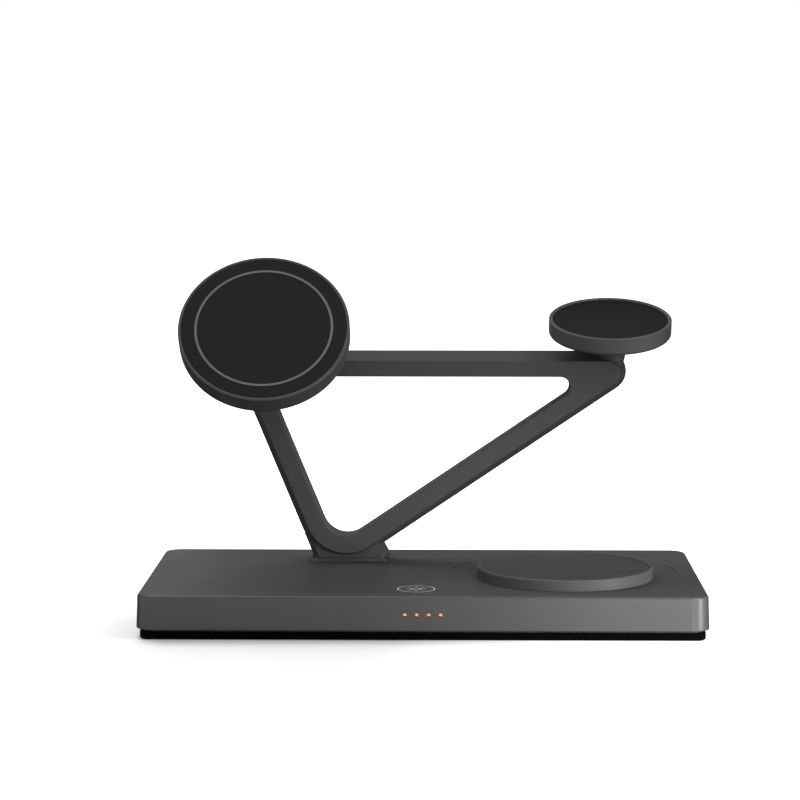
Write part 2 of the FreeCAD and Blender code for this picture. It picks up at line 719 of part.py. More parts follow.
def make_frame():
    low = "-(Dims.dish_height + Dims.boss_length)"
    boss_profile = [
        ("0", low),
        ("Dims.boss_low_radius", low),
        ("Dims.boss_top_radius", "-Dims.dish_height"),
        ("0", "-Dims.dish_height"),
    ]
    boss = turned("dish_boss", boss_profile, *DISH_PLACE)
    arm = new_body("hinge_arm")
    web = sketch_on(arm, "YZ", "arm_web", PHONE_X)
    seat_y = "(Dims.frame_front + Dims.frame_depth / 2)"
    bar_low = f"({BASE_TOP} + Dims.bar_low)"
    draw_polygon(web, [
        ("Dims.hinge_y", f"{HINGE_Z} - Dims.knuckle_radius"),
        (seat_y, f"{bar_low} + Dims.frame_edge"),
        (seat_y, f"{bar_low} + Dims.bar_width"),
        ("Dims.hinge_y", f"{HINGE_Z} + Dims.knuckle_radius"),
    ])
    extrude(arm, "Pad", web, "Dims.knuckle_width", middle=True)
    knuckle = sketch_on(arm, "YZ", "knuckle_round", PHONE_X)
    draw_circles(knuckle, [("Dims.hinge_y", HINGE_Z)], "Dims.knuckle_radius")
    extrude(arm, "Pad", knuckle, "Dims.knuckle_width", middle=True)
    bore = sketch_on(arm, "YZ", "knuckle_bore", PHONE_X)
    draw_circles(bore, [("Dims.hinge_y", HINGE_Z)], "Dims.pin_radius + Dims.pin_gap")
    extrude(arm, "Pocket", bore, "2 * Dims.knuckle_width", middle=True)
    casting = doc.addObject("Part::MultiFuse", "frame_casting")
    casting.Shapes = [make_frame_ring(), make_frame_foot(), boss, arm]
    casting.Refine = True
    threads = new_body("frame_threads")
    sketch = sketch_on(threads, "XY", "bolt_threads", COLLAR_TOP)
    draw_circles(sketch, BOLTS, "Dims.bolt_radius + Dims.thread_gap")
    extrude(threads, "Pad", sketch, "Dims.bolt_reach + Dims.fit_gap")
    dish_thread = doc.addObject("Part::Cylinder", "dish_thread")
    dish_thread.setExpression("Radius", "Dims.dish_screw_radius + Dims.thread_gap")
    dish_thread.setExpression("Height", "2 * Dims.dish_screw_length")
    tilt = "Dims.dish_tilt * 1 deg"
    drop = "(Dims.dish_height + Dims.dish_screw_length)"
    place(dish_thread, DISH_X, f"Dims.dish_y + {drop} * sin({tilt})", f"{DISH_Z} - {drop} * cos({tilt})",
          "Dims.dish_tilt")
    sole = doc.addObject("Part::Box", "foot_sole")
    sole.setExpression("Length", "Dims.collar_right - Dims.collar_left + 2 * Dims.frame_depth")
    sole.setExpression("Width", "2 * Dims.frame_depth")
    sole.setExpression("Height", "2 * Dims.foot_height")
    place(sole, "Dims.collar_left - Dims.frame_depth", "Dims.frame_front - Dims.frame_depth / 2",
          f"{COLLAR_TOP} - 2 * Dims.foot_height")
    cutters = doc.addObject("Part::MultiFuse", "frame_cuts")
    cutters.Shapes = [threads, dish_thread, sole]
    frame = doc.addObject("Part::Cut", "frame")
    frame.Base = casting
    frame.Tool = cutters
    doc.recompute()
    return frame


# Foot collar: a bevelled plate that the foot stands on
def make_foot_collar():
    body = new_body("foot_collar")
    sketch = sketch_on(body, "XY", "collar_outline", BASE_TOP)
    low = "Dims.frame_front + Dims.foot_setback - Dims.collar_front_margin"
    high = f"{FRAME_BACK} + Dims.collar_back_margin"
    draw_rectangle(sketch, "Dims.collar_left", "Dims.collar_right", low, high, "Dims.collar_corner")
    extrude(body, "Pad", sketch, "Dims.collar_height")
    soften(body, "Chamfer", "collar_edge", "Dims.collar_bevel", level_edge(COLLAR_TOP))
    holes = sketch_on(body, "XY", "collar_holes", BASE_TOP)
    draw_circles(holes, BOLTS, "Dims.bolt_radius + Dims.fit_gap")
    extrude(body, "Pocket", holes, "2 * Dims.collar_height", reverse=True)
    return body


def make_foot_backing_plate():
    body = new_body("foot_backing_plate")
    sketch = sketch_on(body, "XY", "backing_outline", f"{ROOF_LOW} - Dims.backing_thick")
    low = "Dims.frame_front + Dims.foot_setback - Dims.backing_margin"
    high = f"{FRAME_BACK} + Dims.backing_margin"
    draw_rectangle(sketch, FOOT_LEFT, "Dims.foot_right", low, high, "Dims.collar_corner")
    extrude(body, "Pad", sketch, "Dims.backing_thick")
    holes = sketch_on(body, "XY", "backing_holes", f"{ROOF_LOW} - Dims.backing_thick")
    draw_circles(holes, BOLTS, "Dims.bolt_radius + Dims.fit_gap")
    extrude(body, "Pocket", holes, "2 * Dims.backing_thick", reverse=True)
    return body


# Watch dish: a shallow turned cup that leans forward, screwed to the frame's boss under its charging face
FACE_LOW = "(-Dims.face_drop - Dims.face_thick)"
DISH_FLOOR = "(-Dims.dish_height + Dims.dish_floor)"


def make_watch_dish():
    radius = "Dims.dish_radius"
    bore = f"({radius} - Dims.dish_rim)"
    ledge = f"({bore} - Dims.dish_ledge)"
    hole = "(Dims.dish_screw_radius + Dims.fit_gap)"
    profile = [
        (hole, "-Dims.dish_height"),
        (radius, "-Dims.dish_height"),
        (radius, "0"),
        (bore, "0"),
        (bore, FACE_LOW),
        (ledge, FACE_LOW),
        (ledge, DISH_FLOOR),
        (hole, DISH_FLOOR),
    ]
    dish = turned("watch_dish", profile, *DISH_PLACE)
    soften(dish, "Fillet", "dish_low_edge", "Dims.dish_round", round_edge(radius, "-Dims.dish_height"))
    soften(dish, "Chamfer", "dish_rim_edge", "Dims.dish_rim / 4", level_edge("0"))
    face_radius = f"({bore} - Dims.fit_gap)"
    coil_low = f"({DISH_FLOOR} + Dims.ferrite_thick)"
    magnet_low = f"({DISH_FLOOR} + Dims.dish_screw_head_height)"
    magnet_radius = "Dims.watch_magnet_radius"
    screw = [
        ("0", f"{DISH_FLOOR} - Dims.dish_screw_length"),
        ("Dims.dish_screw_radius", f"{DISH_FLOOR} - Dims.dish_screw_length"),
        ("Dims.dish_screw_radius", DISH_FLOOR),
        ("Dims.dish_screw_head", DISH_FLOOR),
        ("Dims.dish_screw_head", magnet_low),
        ("0", magnet_low),
    ]
    return [
        dish,
        make_watch_charge_face(face_radius),
        flat_ring("watch_ferrite", "Dims.watch_coil_inner", "Dims.watch_coil_outer", DISH_FLOOR,
                  "Dims.ferrite_thick", *DISH_PLACE),
        flat_ring("watch_coil", "Dims.watch_coil_inner", "Dims.watch_coil_outer", coil_low, "Dims.coil_thick",
                  *DISH_PLACE),
        turned("watch_magnet", disc(magnet_radius, magnet_low, FACE_LOW), *DISH_PLACE),
        turned("dish_screw", screw, *DISH_PLACE),
    ]


def make_watch_charge_face(radius):
    """A disc whose top is hollowed by a large sphere, to take a domed back."""
    blank = doc.addObject("Part::Cylinder", "charge_blank")
    blank.setExpression("Radius", radius)
    blank.setExpression("Height", "Dims.face_thick")
    blank.setExpression("Placement.Base.z", FACE_LOW)
    ball = doc.addObject("Part::Sphere", "charge_hollow")
    land = f"({radius} - Dims.dish_rim)"
    curve = f"(({land}) ^ 2 + Dims.face_dip ^ 2) / (2 * Dims.face_dip)"
    ball.setExpression("Radius", curve)
    ball.setExpression("Placement.Base.z", f"-Dims.face_drop - Dims.face_dip + {curve}")
    face = doc.addObject("Part::Cut", "watch_charge_face")
    face.Base = blank
    face.Tool = ball
    place(face, *DISH_PLACE)
    return face


# Phone pad: a round cup that leans back on a friction hinge. Its own frame lies in the face, with Z outwards.
PAD_TURN = "90 - Dims.pad_lean"
HINGE_DROP = "(Dims.pad_thick + Dims.hinge_gap)"
PAD_PLACE = (
    PHONE_X,
    f"Dims.hinge_y - {HINGE_DROP} * cos(Dims.pad_lean * 1 deg)",
    f"{HINGE_Z} + {HINGE_DROP} * sin(Dims.pad_lean * 1 deg)",
    PAD_TURN,
)
EAR_INSIDE = "(Dims.knuckle_width / 2 + Dims.washer_gap + Dims.washer_thick)"


def make_phone_pad_shell():
    radius = "Dims.pad_radius"
    bore = f"({radius} - Dims.pad_wall)"
    ledge = f"({bore} - Dims.pad_ledge)"
    floor = "(-Dims.pad_thick + Dims.pad_floor)"
    profile = [
        ("0", "-Dims.pad_thick"),
        (radius, "-Dims.pad_thick"),
        (radius, "0"),
        (bore, "0"),
        (bore, "-Dims.pad_face_thick"),
        (ledge, "-Dims.pad_face_thick"),
        (ledge, floor),
        ("0", floor),
    ]
    body = turned("phone_pad_shell", profile, *PAD_PLACE)
    soften(body, "Fillet", "pad_back_edge", "Dims.pad_round", round_edge(radius, "-Dims.pad_thick"))
    soften(body, "Chamfer", "pad_rim_round", "Dims.pad_rim_edge", round_edge(radius, "0"))
    root = "-Dims.pad_thick + Dims.pad_floor / 2"
    edge = "Dims.ear_radius"
    axle = f"-{HINGE_DROP}"
    for side in (-1, 1):
        middle = f"{side} * ({EAR_INSIDE} + Dims.ear_thick / 2)"
        ear = sketch_on(body, "YZ", f"ear_{side + 2}", middle)
        draw_polygon(ear, [(f"-{edge}", root), (f"-{edge}", axle), (edge, axle), (edge, root)])
        extrude(body, "Pad", ear, "Dims.ear_thick", middle=True)
        tip_round = sketch_on(body, "YZ", f"ear_tip_{side + 2}", middle)
        draw_circles(tip_round, [("0", axle)], edge)
        extrude(body, "Pad", tip_round, "Dims.ear_thick", middle=True)
    bore_sketch = sketch_on(body, "YZ", "ear_bore")
    draw_circles(bore_sketch, [("0", axle)], "Dims.pin_radius")
    extrude(body, "Pocket", bore_sketch, f"4 * ({EAR_INSIDE} + Dims.ear_thick)", middle=True)
    return body


def make_phone_pad_inside():
    face_radius = "(Dims.pad_radius - Dims.pad_wall - Dims.fit_gap)"
    under = "-Dims.pad_face_thick"
    coil_low = f"({under} - Dims.coil_thick)"
    ferrite_low = f"({coil_low} - Dims.ferrite_thick)"
    floor = "(-Dims.pad_thick + Dims.pad_floor)"
    board_top = f"({floor} + Dims.phone_board_thick)"
    face = disc(face_radius, under, "0")
    board = disc("Dims.phone_board_radius", floor, board_top)
    ferrite = disc("Dims.phone_ferrite_radius", ferrite_low, coil_low)
    return [
        turned("phone_pad_face", face, *PAD_PLACE),
        flat_ring("phone_coil", "Dims.phone_coil_inner", "Dims.phone_coil_outer", coil_low, "Dims.coil_thick",
                  *PAD_PLACE),
        turned("phone_ferrite", ferrite, *PAD_PLACE),
        turned("phone_board", board, *PAD_PLACE),
        make_phone_magnets(under),
    ]


def make_phone_magnets(top):
    """A ring of like magnets glued under the face."""
    body = new_body("phone_magnets")
    sketch = sketch_on(body, "XY", "magnet_outline", f"{top} - Dims.magnet_thick")
    count = round(number("Dims.magnet_count"))
    chord = "(Dims.magnet_inner * tan(180 deg / Dims.magnet_count) - Dims.magnet_gap / 2)"
    wide = "(Dims.magnet_outer * sin(180 deg / Dims.magnet_count) - Dims.magnet_gap / 2)"
    outer = "Dims.magnet_outer * cos(180 deg / Dims.magnet_count)"
    draw_polygon(sketch, [
        ("Dims.magnet_inner", f"-{chord}"),
        (outer, f"-{wide}"),
        (outer, wide),
        ("Dims.magnet_inner", chord),
    ])
    first = extrude(body, "Pad", sketch, "Dims.magnet_thick")
    ring = body.newObject("PartDesign::PolarPattern", "magnet_ring")
    ring.Originals = [first]
    ring.Axis = (sketch, ["N_Axis"])
    ring.Angle = 360
    ring.Occurrences = count
    body.Tip = ring
    place(body, *PAD_PLACE)
    doc.recompute()
    return body


def make_hinge_pin():
    """A headed pin, tight in the pad's ears and free in the frame's knuckle."""
    body = new_body("hinge_pin")
    reach = f"({EAR_INSIDE} + Dims.ear_thick)"
    shank = sketch_on(body, "YZ", "pin_shank")
    draw_circles(shank, [("0", f"-{HINGE_DROP}")], "Dims.pin_radius")
    extrude(body, "Pad", shank, f"2 * {reach}", middle=True)
    for side in (-1, 1):
        head = sketch_on(body, "YZ", f"pin_head_{side + 2}", f"{side} * ({reach} + Dims.pin_head_thick / 2)")
        draw_circles(head, [("0", f"-{HINGE_DROP}")], "Dims.pin_head_radius")
        extrude(body, "Pad", head, "Dims.pin_head_thick", middle=True)
    place(body, *PAD_PLACE)
    return body


def make_friction_washers():
    body = new_body("friction_washers")
    for side in (-1, 1):
        offset = f"{side} * ({EAR_INSIDE} - Dims.washer_thick / 2)"
        ring = sketch_on(body, "YZ", f"washer_{side + 2}", offset)
        for radius in ("Dims.ear_radius", "Dims.pin_radius + Dims.pin_gap"):
            draw_circles(ring, [("0", f"-{HINGE_DROP}")], radius)
        extrude(body, "Pad", ring, "Dims.washer_thick", middle=True)
    place(body, *PAD_PLACE)
    return body


pieces = [
    make_base_shell(),
    make_bottom_cover(),
    make_rubber_feet(),
    screw_group("cover_screws", POSTS, "Dims.screw_head_radius", "(Dims.foot_rise + Dims.thread_gap)",
                "(Dims.screw_head_height - Dims.thread_gap)", "Dims.screw_radius", "Dims.screw_length"),
    make_ballast_plate(),
    make_main_board(),
    make_usb_c_socket(),
    make_indicator_lenses(),
    make_indicator_board(),
    flat_ring("touch_sensor", "Dims.touch_bore", "Dims.touch_radius", f"{ROOF_LOW} - Dims.touch_thick",
              "Dims.touch_thick", "Dims.touch_x", f"-{REAR} + Dims.touch_inset", "0"),
    *make_earbud_pad(),
    make_frame(),
    make_foot_collar(),
    make_foot_backing_plate(),
    screw_group("frame_screws", BOLTS, "Dims.bolt_head_radius",
                f"({ROOF_LOW} - Dims.backing_thick - Dims.bolt_head_height)", "Dims.bolt_head_height",
                "Dims.bolt_radius",
                "(Dims.backing_thick + Dims.shell_wall + Dims.collar_height + Dims.bolt_reach)"),
    *make_watch_dish(),
    make_phone_pad_shell(),
    *make_phone_pad_inside(),
    make_hinge_pin(),
    make_friction_washers(),
]
doc.recompute()

for item in doc.Objects:
    if "Invalid" in item.State or "Error" in item.State:
        raise RuntimeError(f"{item.Name} did not build: {item.State}")
for piece in pieces:
    if piece.Shape.isNull() or not piece.Shape.isValid():
        raise RuntimeError(f"{piece.Label} has no valid shape")

os.makedirs("parts", exist_ok=True)
for piece in pieces:
    piece.Shape.exportStep(f"parts/{piece.Label}.step")
    print(piece.Label, len(piece.Shape.Solids), round(piece.Shape.Volume, 1))
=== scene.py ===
import math
import bmesh
import bpy
from mathutils import Matrix, Vector


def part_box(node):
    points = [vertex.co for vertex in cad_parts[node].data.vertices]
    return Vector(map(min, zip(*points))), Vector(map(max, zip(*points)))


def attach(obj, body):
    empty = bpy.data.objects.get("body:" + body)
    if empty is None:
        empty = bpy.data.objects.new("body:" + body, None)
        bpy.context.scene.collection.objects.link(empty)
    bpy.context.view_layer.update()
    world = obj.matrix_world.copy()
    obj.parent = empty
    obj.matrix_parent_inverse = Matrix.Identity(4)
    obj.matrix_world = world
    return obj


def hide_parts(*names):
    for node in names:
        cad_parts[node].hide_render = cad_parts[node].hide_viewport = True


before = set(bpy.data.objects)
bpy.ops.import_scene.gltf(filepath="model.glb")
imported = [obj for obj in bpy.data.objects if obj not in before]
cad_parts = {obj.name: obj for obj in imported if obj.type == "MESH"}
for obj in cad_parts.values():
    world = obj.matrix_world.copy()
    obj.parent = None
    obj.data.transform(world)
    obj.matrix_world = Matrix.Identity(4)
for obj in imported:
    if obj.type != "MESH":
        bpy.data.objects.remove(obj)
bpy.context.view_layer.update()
MM = 0.001

# Bottom cover: the plate that closes the base from below, with posts and pegs for what lies inside.
# It is moulded in black ABS against a spark-eroded tool, so its skin is an even, fine, dull grain.


def srgb(text):
    """A colour written as sRGB hex, in linear light."""
    parts = [int(text[i:i + 2], 16) / 255 for i in (1, 3, 5)]
    linear = [c / 12.92 if c <= 0.04045 else ((c + 0.055) / 1.055) ** 2.4 for c in parts]
    return (*linear, 1.0)


def add_node(tree, kind, values=None, links=None, **settings):
    """Adds a shader node with its settings, its socket values and the links into it."""
    node = tree.nodes.new(kind)
    for name, value in settings.items():
        setattr(node, name, value)
    for socket, value in (values or {}).items():
        node.inputs[socket].default_value = value
    for socket, source in (links or {}).items():
        tree.links.new(source, node.inputs[socket])
    return node


def new_material(name, metallic=0.0, specular=0.5):
    """A material with its node tree, its shader and the place of each point in the shared frame."""
    material = bpy.data.materials.new(name)
    material.use_nodes = True
    tree = material.node_tree
    shader = tree.nodes["Principled BSDF"]
    shader.inputs["Metallic"].default_value = metallic
    shader.inputs["Specular IOR Level"].default_value = specular
    place = add_node(tree, "ShaderNodeTexCoord")
    return material, tree, shader, place.outputs["Object"]


def grained(name, dark, light, grit_mm, depth_mm, roughness, metallic=0.0, specular=0.5, edge_mm=0.2,
            low_glare="#ffffff"):
    """A fine-grained skin: two close tones, relief of the grit's size, patches of gloss and softened edges.

    Real grit of this kind is 0.05 to 0.1 mm across, too fine to show, so it is drawn several times coarser.
    A dark low_glare holds down the sheen that a blasted or flaked skin scatters at a low angle.
    """
    material, tree, shader, place = new_material(name, metallic, specular)
    shader.inputs["Specular Tint"].default_value = srgb(low_glare)
    grain = add_node(tree, "ShaderNodeTexNoise",
                     {"Scale": 1 / (grit_mm * MM), "Detail": 2.0, "Roughness": 0.6}, {"Vector": place})
    patch_mm, patch_gloss = 35, 0.04
    patch = add_node(tree, "ShaderNodeTexNoise", {"Scale": 1 / (patch_mm * MM), "Detail": 2.0},
                     {"Vector": place})
    tone = add_node(tree, "ShaderNodeMix", {"A": srgb(dark), "B": srgb(light)},
                    {"Factor": grain.outputs["Fac"]}, data_type="RGBA")
    gloss = add_node(tree, "ShaderNodeMapRange", {"From Min": 0.3, "From Max": 0.7,
                                                  "To Min": roughness - patch_gloss,
                                                  "To Max": roughness + patch_gloss},
                     {"Value": patch.outputs["Fac"]})
    edge = add_node(tree, "ShaderNodeBevel", {"Radius": edge_mm * MM}, samples=6)
    relief = add_node(tree, "ShaderNodeBump", {"Strength": 0.3, "Distance": depth_mm * MM},
                      {"Height": grain.outputs["Fac"], "Normal": edge.outputs["Normal"]})
    tree.links.new(tone.outputs["Result"], shader.inputs["Base Color"])
    tree.links.new(gloss.outputs["Result"], shader.inputs["Roughness"])
    tree.links.new(relief.outputs["Normal"], shader.inputs["Normal"])
    return material


def dress(material, *names):
    """Gives CAD nodes a finish."""
    for name in names:
        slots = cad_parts[name].data.materials
        slots.clear()
        slots.append(material)


dress(grained("abs_black_spark_eroded", "#1b1b1d", "#232325", 0.5, 0.03, 0.62), "bottom_cover")

# Foot strips: two long non-slip strips in the cover's recesses, under the front and the back of the base.
# They are black silicone rubber, glued in, with fine ribs across them that grip the table. Their colour is set
# near pure black, partly the rubber's own tone and partly a painted shade for the dark gap under the base.


def ribbed_silicone():
    """Black silicone, coloured near pure black: partly its own tone, partly a painted shade for the dark gap
    under the base. Its ribs show only as a faint ripple.
    """
    material, tree, shader, place = new_material("silicone_black_ribbed_painted_shade", specular=0.03)
    rib_mm, rib_depth_mm, dust_mm = 1.5, 0.15, 3
    ribs = add_node(tree, "ShaderNodeTexWave", {"Scale": math.tau / (20 * rib_mm * MM)}, {"Vector": place},
                    wave_type="BANDS", bands_direction="X")
    dust = add_node(tree, "ShaderNodeTexNoise", {"Scale": 1 / (dust_mm * MM), "Detail": 4.0},
                    {"Vector": place})
    # painted shade: the rubber's two tones sit near pure black, darker than black silicone, to stand for the
    # shade under the base
    tone = add_node(tree, "ShaderNodeMix", {"A": srgb("#010101"), "B": srgb("#030303")},
                    {"Factor": dust.outputs["Fac"]}, data_type="RGBA")
    relief = add_node(tree, "ShaderNodeBump", {"Strength": 0.3, "Distance": rib_depth_mm * MM},
                      {"Height": ribs.outputs["Fac"]})
    shader.inputs["Roughness"].default_value = 0.8
    tree.links.new(tone.outputs["Result"], shader.inputs["Base Color"])
    tree.links.new(relief.outputs["Normal"], shader.inputs["Normal"])
    return material


dress(ribbed_silicone(), "rubber_feet")

# Cover screws: four self-tapping screws that hold the cover to the posts of the shell above it.
# They are steel, blacked, with flat heads sunk in the cover and a pressed cross for the driver.


def plated(name, colour, roughness, scratch_mm=1.2):
    """A plated metal: bright, with faint long scuffs that break up its gloss."""
    material, tree, shader, place = new_material(name, metallic=1.0)
    scuff_depth_mm = 0.02
    polish, dulling = 0.06, 0.08
    stretch = add_node(tree, "ShaderNodeMapping", {"Scale": (1.0, 6.0, 6.0)}, {"Vector": place})
    scuff = add_node(tree, "ShaderNodeTexNoise", {"Scale": 1 / (scratch_mm * MM), "Detail": 5.0},
                     {"Vector": stretch.outputs["Vector"]})
    gloss = add_node(tree, "ShaderNodeMapRange", {"From Min": 0.3, "From Max": 0.7, "To Min": roughness - polish,
                                                  "To Max": roughness + dulling},
                     {"Value": scuff.outputs["Fac"]})
    relief = add_node(tree, "ShaderNodeBump", {"Strength": 0.1, "Distance": scuff_depth_mm * MM},
                      {"Height": scuff.outputs["Fac"]})
    shader.inputs["Base Color"].default_value = srgb(colour)
    tree.links.new(gloss.outputs["Result"], shader.inputs["Roughness"])
    tree.links.new(relief.outputs["Normal"], shader.inputs["Normal"])
    return material


def add_piece(name, bm, material, body):
    """Makes a mesh piece in the shared frame, smooth but for its sharp edges, that rides on a body."""
    bmesh.ops.recalc_face_normals(bm, faces=bm.faces)
    mesh = bpy.data.meshes.new(name)
    bm.to_mesh(mesh)
    bm.free()
    mesh.shade_smooth()
    mesh.set_sharp_from_angle(angle=math.radians(35))
    mesh.materials.append(material)
    piece = bpy.data.objects.new(name, mesh)
    bpy.context.collection.objects.link(piece)
    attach(piece, body)
    return piece


def ring_of(bm, points):
    """A closed loop of edges through points."""
    corners = [bm.verts.new(point) for point in points]
    return [bm.edges.new((a, b)) for a, b in zip(corners, corners[1:] + corners[:1])]


def circle(radius, height, count=32):
    """Points round a level circle about the Z axis."""
    steps = [math.tau * i / count for i in range(count)]
    return [(radius * math.cos(t), radius * math.sin(t), height) for t in steps]


def headed(recess, depth, head_radius, head_height, shank_radius, length):
    """A headed fastener along +Z from the face of its head, with a driver's recess of the given outline."""
    bm = bmesh.new()
    chamfer = head_height / 5
    levels = [(head_radius - chamfer, 0), (head_radius, chamfer), (head_radius, head_height),
              (shank_radius, head_height), (shank_radius, head_height + length)]
    loops = [ring_of(bm, circle(radius, height)) for radius, height in levels]
    for low, high in zip(loops, loops[1:]):
        bmesh.ops.bridge_loops(bm, edges=low + high)
    mouth = ring_of(bm, [(x, y, 0) for x, y in recess])
    taper = 0.8
    recess_end = ring_of(bm, [(taper * x, taper * y, depth) for x, y in recess])
    bmesh.ops.triangle_fill(bm, edges=loops[0] + mouth, use_beauty=True)
    bmesh.ops.bridge_loops(bm, edges=mouth + recess_end)
    bmesh.ops.triangle_fill(bm, edges=recess_end, use_beauty=True)
    bmesh.ops.triangle_fill(bm, edges=loops[-1], use_beauty=True)
    return bm


def cross(reach, half_width):
    """The outline of a cross, anticlockwise."""
    arm = [(reach, -half_width), (reach, half_width), (half_width, half_width)]
    turns = [Matrix.Rotation(math.pi / 2 * i, 2) for i in range(4)]
    return [turn @ Vector(point) for turn in turns for point in arm]


blacked_steel = plated("steel_blacked", "#3a3a3c", 0.38)
low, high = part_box("cover_screws")
cover_head = 2.4 * MM
cover_head_height = 1.05 * MM
cover_shank = 1.2 * MM
cross_reach, cross_half, cross_depth = 1.3 * MM, 0.28 * MM, 0.7 * MM
for side_x in (low.x + cover_head, high.x - cover_head):
    for side_y in (low.y + cover_head, high.y - cover_head):
        bm = headed(cross(cross_reach, cross_half), cross_depth, cover_head, cover_head_height, cover_shank,
                    high.z - low.z - cover_head_height)
        bm.transform(Matrix.Translation((side_x, side_y, low.z)))
        screw = add_piece("cover_screw", bm, blacked_steel, "stand")
        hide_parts("cover_screws")

# Ballast plate and foot backing plate: the weight that keeps the stand down, and the plate that spreads the
# pull of the frame's screws. Both are pressed from galvanised steel sheet, which shows large dull crystals.


def galvanised():
    """Zinc-dipped sheet: pale grey crystals, each with a gloss of its own."""
    material, tree, shader, place = new_material("steel_galvanised", metallic=1.0)
    crystal_mm = 7
    crystals = add_node(tree, "ShaderNodeTexVoronoi", {"Scale": 1 / (crystal_mm * MM)}, {"Vector": place})
    tone = add_node(tree, "ShaderNodeMix", {"A": srgb("#9a9c9f"), "B": srgb("#b9bbbd")},
                    {"Factor": crystals.outputs["Color"]}, data_type="RGBA")
    gloss = add_node(tree, "ShaderNodeMapRange", {"To Min": 0.35, "To Max": 0.55},
                     {"Value": crystals.outputs["Color"]})
    tree.links.new(tone.outputs["Result"], shader.inputs["Base Color"])
    tree.links.new(gloss.outputs["Result"], shader.inputs["Roughness"])
    return material


dress(galvanised(), "ballast_plate", "foot_backing_plate")

# Circuit boards: the power board on its posts, the lamp board behind the front wall, the touch sensor under
# the top and the driver board in the phone pad. Each is glass-fibre board under green solder mask, with copper
# tracks that show through it.


def solder_mask():
    """Solder mask: glossy deep green, with the tracks under it as lighter lines."""
    material, tree, shader, place = new_material("fr4_green_solder_mask")
    track_mm, track_height_mm = 2.5, 0.04
    tracks = add_node(tree, "ShaderNodeTexBrick", {"Color1": srgb("#0f4a28"), "Color2": srgb("#125431"),
                                                   "Mortar": srgb("#2f7d4a"), "Scale": 1 / (track_mm * MM),
                                                   "Mortar Size": 0.06}, {"Vector": place})
    relief = add_node(tree, "ShaderNodeBump", {"Strength": 0.4, "Distance": track_height_mm * MM},
                      {"Height": tracks.outputs["Fac"]})
    shader.inputs["Roughness"].default_value = 0.3
    tree.links.new(tracks.outputs["Color"], shader.inputs["Base Color"])
    tree.links.new(relief.outputs["Normal"], shader.inputs["Normal"])
    return material


dress(solder_mask(), "main_board", "indicator_board", "touch_sensor", "phone_board")

# Power inlet: a flat oval socket at the back, soldered to the power board.
# Its mouth is drawn stainless steel, round a black plastic tongue with two rows of gilded contacts.
drawn_stainless = plated("stainless_drawn", "#98999b", 0.32)
dress(drawn_stainless, "usb_c_socket")


def box_mesh(low, high, round_mm):
    """A block between two corners, with its edges rounded off."""
    bm = bmesh.new()
    size = Vector(high) - Vector(low)
    bmesh.ops.create_cube(bm, size=1.0)
    bm.transform(Matrix.Translation((Vector(low) + Vector(high)) / 2) @ Matrix.Diagonal((*size, 1)))
    bmesh.ops.bevel(bm, geom=bm.edges[:], offset=round_mm * MM, segments=2, affect="EDGES", profile=0.5)
    return bm


low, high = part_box("usb_c_socket")
inlet_middle = (low + high) / 2
tongue_setback, tongue_edge_mm = 0.9 * MM, 0.12
tongue_back = high.y - tongue_setback
tongue_half = Vector((3.36, 0, 0.36)) * MM
tongue_depth = Vector((0, 5.0, 0)) * MM
tip = Vector((inlet_middle.x, tongue_back, inlet_middle.z))
tongue = box_mesh(tip - tongue_depth - tongue_half, tip + tongue_half, tongue_edge_mm)
tongue_plastic = grained("lcp_black_moulded", "#141415", "#1a1a1b", 0.3, 0.01, 0.5)
add_piece("inlet_tongue_cover", tongue, tongue_plastic, "stand")

gilded = plated("contacts_gilded", "#d8b066", 0.25)
contact_pitch = 0.5 * MM
contact_half = Vector((0.13, 0, 0.02)) * MM
contact_length = Vector((0, 3.0, 0)) * MM
contact_setback, contact_edge_mm = 0.5 * MM, 0.01
contacts_per_row = 12
contacts = bmesh.new()
for row in (-1, 1):
    for i in range(contacts_per_row):
        across = (i - (contacts_per_row - 1) / 2) * contact_pitch
        middle = tip + Vector((across, -contact_setback, row * tongue_half.z))
        one = box_mesh(middle - contact_length - contact_half, middle + contact_half, contact_edge_mm)
        part = bpy.data.meshes.new("inlet_contact")
        one.to_mesh(part)
        one.free()
        contacts.from_mesh(part)
        bpy.data.meshes.remove(part)
add_piece("inlet_contacts", contacts, gilded, "stand")

# Charge lamps: four light pipes pushed through the front wall from a small board.
# They are clear amber acrylic with domed ends, and glow a pale orange when lit.


def lit_acrylic(bottom, top):
    """Clear acrylic lit from behind: an orange glow under its gloss, darkened to brown low on the dome as a
    painted shade.
    """
    material, tree, shader, place = new_material("acrylic_amber_lit")
    swirl_mm, painted_shade_to, shade_free_from = 0.6, 0.2, 0.55
    swirl = add_node(tree, "ShaderNodeTexNoise", {"Scale": 1 / (swirl_mm * MM)}, {"Vector": place})
    glow = add_node(tree, "ShaderNodeMix", {"A": srgb("#e0703c"), "B": srgb("#f6955f")},
                    {"Factor": swirl.outputs["Fac"]}, data_type="RGBA")
    height = add_node(tree, "ShaderNodeSeparateXYZ", None, {"Vector": place})
    # painted shade: below this band the dome turns brown, darker towards its bottom, in both its colour and its
    # glow
    rise = add_node(tree, "ShaderNodeMapRange", {"From Min": bottom + painted_shade_to * (top - bottom),
                                                 "From Max": bottom + shade_free_from * (top - bottom)},
                    {"Value": height.outputs["Z"]})
    tone = add_node(tree, "ShaderNodeMix", {"A": srgb("#4a1a0c")},
                    {"Factor": rise.outputs["Result"], "B": glow.outputs["Result"]}, data_type="RGBA")
    shader.inputs["Roughness"].default_value = 0.12
    shader.inputs["IOR"].default_value = 1.49
    shader.inputs["Emission Strength"].default_value = 0.5
    tree.links.new(tone.outputs["Result"], shader.inputs["Base Color"])
    tree.links.new(tone.outputs["Result"], shader.inputs["Emission Color"])
    return material


